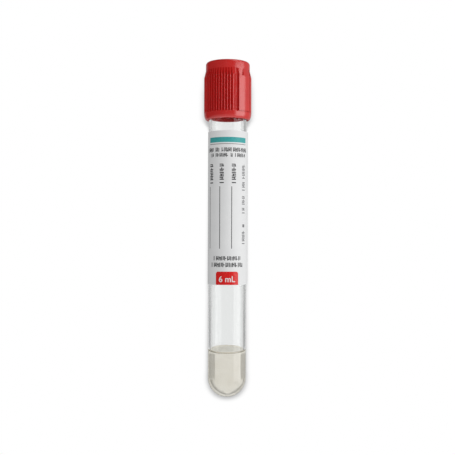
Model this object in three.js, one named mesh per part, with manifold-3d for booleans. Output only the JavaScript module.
// A 6 mL blood collection tube, capped, lying on its side. Millimetres, +Z up.
// The pieces are drawn upright, with the tube's axis on Z and its round end at the origin.
// The printed front of the label faces -X there. The whole tube is then laid down.

import * as THREE from 'three';
import { mergeVertices } from 'three/addons/utils/BufferGeometryUtils.js';
import Module from 'manifold-3d';

const wasm = await Module();
wasm.setup();

// Glass tube
const tubeRadius = 6.4;
const tubeWall = 0.8;
const tubeLength = 100;

// Gel in the round bottom, with a dished top that climbs the wall
const gelHeight = 16.3;
const gelDishDepth = 1.1;
const gelDishSharpness = 6;
const gelClearance = 0.05;

// Label, one turn with its outer end lapped over its inner end
const labelLength = 51.1;
const labelBelowCap = 4.1;
const labelThickness = 0.1;
const labelClearance = 0.05;
const labelLap = THREE.MathUtils.degToRad(18);
const labelEnd = THREE.MathUtils.degToRad(92);
const labelEndLift = 0.2;

// Rubber stopper
const plugLength = 4.7;
const plugClearance = 0.1;
const plugChamfer = 0.4;
const plugHollowWall = 1.9;
const plugHollowDepth = 2.6;
const flangeOverhang = 0.25;
const flangeThickness = 3.6;
const bossHeight = 2.6;
const bossClearance = 0.1;
const bossDishDepth = 0.8;
const bossDishRim = 0.9;

// Cap
const capHeight = 19.4;
const capOverlap = 6.8;
const skirtClearance = 0.42;
const skirtWall = 1.15;
const lipWall = 0.21;
const lipRound = 2.5;
const neckStep = 0.57;
const neckLength = 2.9;
const rampLength = 2.4;
const topRound = 0.9;
const topThickness = 1.2;
const shellWall = 1.03;
const seatGap = 0.1;
const pocketClearance = 0.1;
const beadClearance = 0.1;
const beadLength = 0.4;
const beadRamp = 0.4;
const wellInset = 1.4;
const wellWall = 1.0;
const wellChamfer = 0.3;

// Ribs: two rows between two smooth panels
const ribsPerRow = 19;
const ribHeight = 0.45;
const lowerBandLength = 2.25;
const grooveAngle = THREE.MathUtils.degToRad(3.05);
const endGrooveAngle = THREE.MathUtils.degToRad(6.7);
const panelAngle = THREE.MathUtils.degToRad(37.5);
const panelTurn = THREE.MathUtils.degToRad(47.25);

// Fineness of round surfaces
const facets = 16;
const arcSteps = 7;

// Radii and heights that follow from the sizes above
const boreRadius = tubeRadius - tubeWall;
const skirtRadius = tubeRadius + skirtClearance;
const capRadius = skirtRadius + skirtWall;
const neckRadius = capRadius - neckStep;
const flangeRadius = tubeRadius + flangeOverhang;
const pocketRadius = flangeRadius + pocketClearance;
const beadRadius = tubeRadius + beadClearance;
const wellRadius = boreRadius - wellInset;
const capBottom = tubeLength - capOverlap;
const capTop = capBottom + capHeight;
const flangeBottom = tubeLength + seatGap;
const flangeTop = flangeBottom + flangeThickness;
const ribBottom = capBottom + lowerBandLength;
const front = Math.PI;

function arc(centreR, centreZ, halfR, halfZ, from, to) {
  const points = [];
  for (let i = 0; i <= arcSteps; i++) {
    const turn = from + ((to - from) * i) / arcSteps;
    points.push([centreR + halfR * Math.cos(turn), centreZ + halfZ * Math.sin(turn)]);
  }
  return points;
}

// Turns a profile of [radius, height] points about Z, with a flat facet facing -X and one facing +X.
function turned(profile) {
  const points = profile.map(([radius, height]) => new THREE.Vector2(radius, height));
  const firstEdge = Math.PI / 2 + Math.PI / facets;
  const geometry = new THREE.LatheGeometry(points, facets, firstEdge);
  return geometry.rotateX(Math.PI / 2);
}

function solidOf(geometry) {
  const bare = geometry.clone();
  bare.deleteAttribute('normal');
  bare.deleteAttribute('uv');
  const merged = mergeVertices(bare);
  const mesh = new wasm.Mesh({
    numProp: 3,
    vertProperties: new Float32Array(merged.attributes.position.array),
    triVerts: new Uint32Array(merged.index.array),
  });
  return new wasm.Manifold(mesh);
}

function geometryOf(solid) {
  const mesh = solid.getMesh();
  const geometry = new THREE.BufferGeometry();
  geometry.setAttribute('position', new THREE.BufferAttribute(mesh.vertProperties, 3));
  geometry.setIndex(new THREE.BufferAttribute(mesh.triVerts, 1));
  return geometry;
}

function piece(name, geometry, colour, roughness) {
  const material = new THREE.MeshStandardMaterial({ color: colour, roughness, metalness: 0 });
  const mesh = new THREE.Mesh(geometry, material);
  mesh.name = name;
  return mesh;
}

// Round-bottomed tube with a rounded rim. Both hemispheres share one centre.
function glassTube() {
  const rimRound = tubeWall / 2;
  const rimHeight = tubeLength - rimRound;
  const profile = [
    ...arc(0, tubeRadius, tubeRadius, tubeRadius, -Math.PI / 2, 0),
    ...arc(tubeRadius - rimRound, rimHeight, rimRound, rimRound, 0, Math.PI),
    ...arc(0, tubeRadius, boreRadius, boreRadius, 0, -Math.PI / 2),
  ];
  const glass = piece('glass_tube', turned(profile), 0xdfe6e6, 0.05);
  glass.material.transparent = true;
  glass.material.opacity = 0.35;
  return glass;
}

// Gel that fills the round bottom. Its top dips in the middle and climbs the glass.
function separatorGel() {
  const gelRadius = boreRadius - gelClearance;
  const dishFloor = gelHeight - gelDishDepth;
  const profile = arc(0, tubeRadius, gelRadius, gelRadius, -Math.PI / 2, 0);
  for (const share of [1, 0.96, 0.9, 0.8, 0.65, 0.4, 0]) {
    const climb = gelDishDepth * share ** gelDishSharpness;
    profile.push([gelRadius * share, dishFloor + climb]);
  }
  return piece('separator_gel', turned(profile), 0xd8d4c6, 0.35);
}

// Label strip wound once round the tube. Its outer end rides over its inner end and lifts a little.
function label() {
  const innerRadius = tubeRadius + labelClearance;
  const lapRise = labelThickness + labelClearance;
  const end = front + labelEnd;
  const start = end - labelLap - 2 * Math.PI;
  const riseStart = end - 2.5 * labelLap;
  const steps = Math.round((end - start) / (Math.PI / 32));
  const inside = [];
  const outside = [];
  for (let i = 0; i <= steps; i++) {
    const turn = start + ((end - start) * i) / steps;
    const rise = lapRise * THREE.MathUtils.smoothstep(turn, riseStart, end - labelLap);
    const lift = labelEndLift * THREE.MathUtils.smoothstep(turn, end - labelLap, end);
    const radius = innerRadius + rise + lift;
    const along = new THREE.Vector2(Math.cos(turn), Math.sin(turn));
    inside.push(along.clone().multiplyScalar(radius));
    outside.push(along.clone().multiplyScalar(radius + labelThickness));
  }
  const strip = new THREE.Shape([...outside, ...inside.reverse()]);
  const geometry = new THREE.ExtrudeGeometry(strip, { depth: labelLength, bevelEnabled: false });
  geometry.translate(0, 0, capBottom - labelBelowCap - labelLength);
  return piece('label', geometry, 0xe8e8e6, 0.6);
}

// Stopper: hollow-ended plug in the bore, flange over the rim, and a dished boss in the cap's well.
function rubberStopper() {
  const plugRadius = boreRadius - plugClearance;
  const plugEnd = tubeLength - plugLength;
  const hollowRadius = plugRadius - plugHollowWall;
  const bossRadius = wellRadius - bossClearance;
  const bossTop = flangeTop + bossHeight;
  const profile = [
    [0, plugEnd + plugHollowDepth],
    [hollowRadius, plugEnd + plugHollowDepth],
    [hollowRadius, plugEnd],
    [plugRadius - plugChamfer, plugEnd],
    [plugRadius, plugEnd + plugChamfer],
    [plugRadius, flangeBottom],
    [flangeRadius, flangeBottom],
    [flangeRadius, flangeTop],
    [bossRadius, flangeTop],
    [bossRadius, bossTop],
    [bossRadius - bossDishRim, bossTop],
    [bossRadius - bossDishRim - bossDishDepth, bossTop - bossDishDepth],
    [0, bossTop - bossDishDepth],
  ];
  return piece('rubber_stopper', turned(profile), 0x8e8e8c, 0.8);
}

// Cap before its grooves are cut: one wall with a skirt, a pocket for the stopper and a well tube.
function capBlank() {
  const wellTubeEnd = flangeTop + seatGap;
  const roof = capTop - topThickness;
  const hollowRadius = neckRadius - shellWall;
  const beadTop = tubeLength;
  const beadBottom = beadTop - beadLength;
  const lipRadius = skirtRadius + lipWall;
  const neckBottom = capTop - neckLength;
  const wellTubeRadius = wellRadius + wellWall;
  const profile = [
    [skirtRadius, capBottom],
    ...arc(lipRadius, capBottom + lipRound, capRadius - lipRadius, lipRound, -Math.PI / 2, 0),
    [capRadius, ribBottom],
    [capRadius, neckBottom - rampLength],
    [neckRadius, neckBottom],
    ...arc(neckRadius - topRound, capTop - topRound, topRound, topRound, 0, Math.PI / 2),
    [wellRadius + wellChamfer, capTop],
    [wellRadius, capTop - wellChamfer],
    [wellRadius, wellTubeEnd],
    [wellTubeRadius, wellTubeEnd],
    [wellTubeRadius, roof],
    [hollowRadius, roof],
    [hollowRadius, wellTubeEnd],
    [pocketRadius, wellTubeEnd],
    [pocketRadius, beadTop],
    [beadRadius, beadTop],
    [beadRadius, beadBottom],
    [skirtRadius, beadBottom - beadRamp],
    [skirtRadius, capBottom],
  ];
  return turned(profile);
}

// A cutter for one groove: a wedge that narrows to its floor, from the lower band to above the ramp.
function grooveCutter(centre, width) {
  const floorRadius = capRadius - ribHeight;
  const outRadius = capRadius + ribHeight;
  const floorHalf = (width / 2) * 0.6;
  const outHalf = (width / 2) * 1.4;
  const corner = (radius, turn) => new THREE.Vector2(radius * Math.cos(turn), radius * Math.sin(turn));
  const wedge = new THREE.Shape([
    corner(floorRadius, centre - floorHalf),
    corner(outRadius, centre - outHalf),
    corner(outRadius, centre + outHalf),
    corner(floorRadius, centre + floorHalf),
  ]);
  const depth = capTop - ribBottom;
  const geometry = new THREE.ExtrudeGeometry(wedge, { depth, bevelEnabled: false });
  return geometry.translate(0, 0, ribBottom);
}

// Groove places in one row, from one panel's edge round to the other's, as [centre, width] pairs.
function rowOfGrooves(rowStart) {
  const ribArc = Math.PI - panelAngle - 2 * endGrooveAngle;
  const ribAngle = (ribArc - (ribsPerRow - 1) * grooveAngle) / ribsPerRow;
  const firstRib = rowStart + endGrooveAngle;
  const grooves = [[rowStart + endGrooveAngle / 2, endGrooveAngle]];
  for (let i = 1; i < ribsPerRow; i++) {
    const centre = firstRib + i * (ribAngle + grooveAngle) - grooveAngle / 2;
    grooves.push([centre, grooveAngle]);
  }
  grooves.push([firstRib + ribArc + endGrooveAngle / 2, endGrooveAngle]);
  return grooves;
}

// The moulded cap, ribbed between its two smooth panels.
function safetyCap() {
  let solid = solidOf(capBlank());
  for (const side of [0, Math.PI]) {
    const rowStart = front + panelTurn + panelAngle / 2 + side;
    for (const [centre, width] of rowOfGrooves(rowStart)) {
      solid = solid.subtract(solidOf(grooveCutter(centre, width)));
    }
  }
  return piece('safety_cap', geometryOf(solid), 0xb3201f, 0.35);
}

const tube = new THREE.Group();
tube.add(glassTube(), separatorGel(), label());

const closure = new THREE.Group();
closure.add(rubberStopper(), safetyCap());

// Laid down, the tube touches the floor with its round end and the foot of the cap's wide part,
// which lifts the capped end a little.
const roundEndCentre = tubeRadius;
const capFoot = capBottom + lipRound;
const flat = Math.cos(Math.PI / facets);
const restTilt = Math.asin(((capRadius - tubeRadius) * flat) / (capFoot - roundEndCentre));

const laid = new THREE.Group();
laid.rotation.y = Math.PI / 2 - restTilt;
laid.add(tube, closure);
laid.updateMatrixWorld(true);

const box = new THREE.Box3().setFromObject(laid, true);
laid.position.set(-(box.min.x + box.max.x) / 2, 0, -box.min.z);

const part = new THREE.Group();
part.add(laid);

export default part;
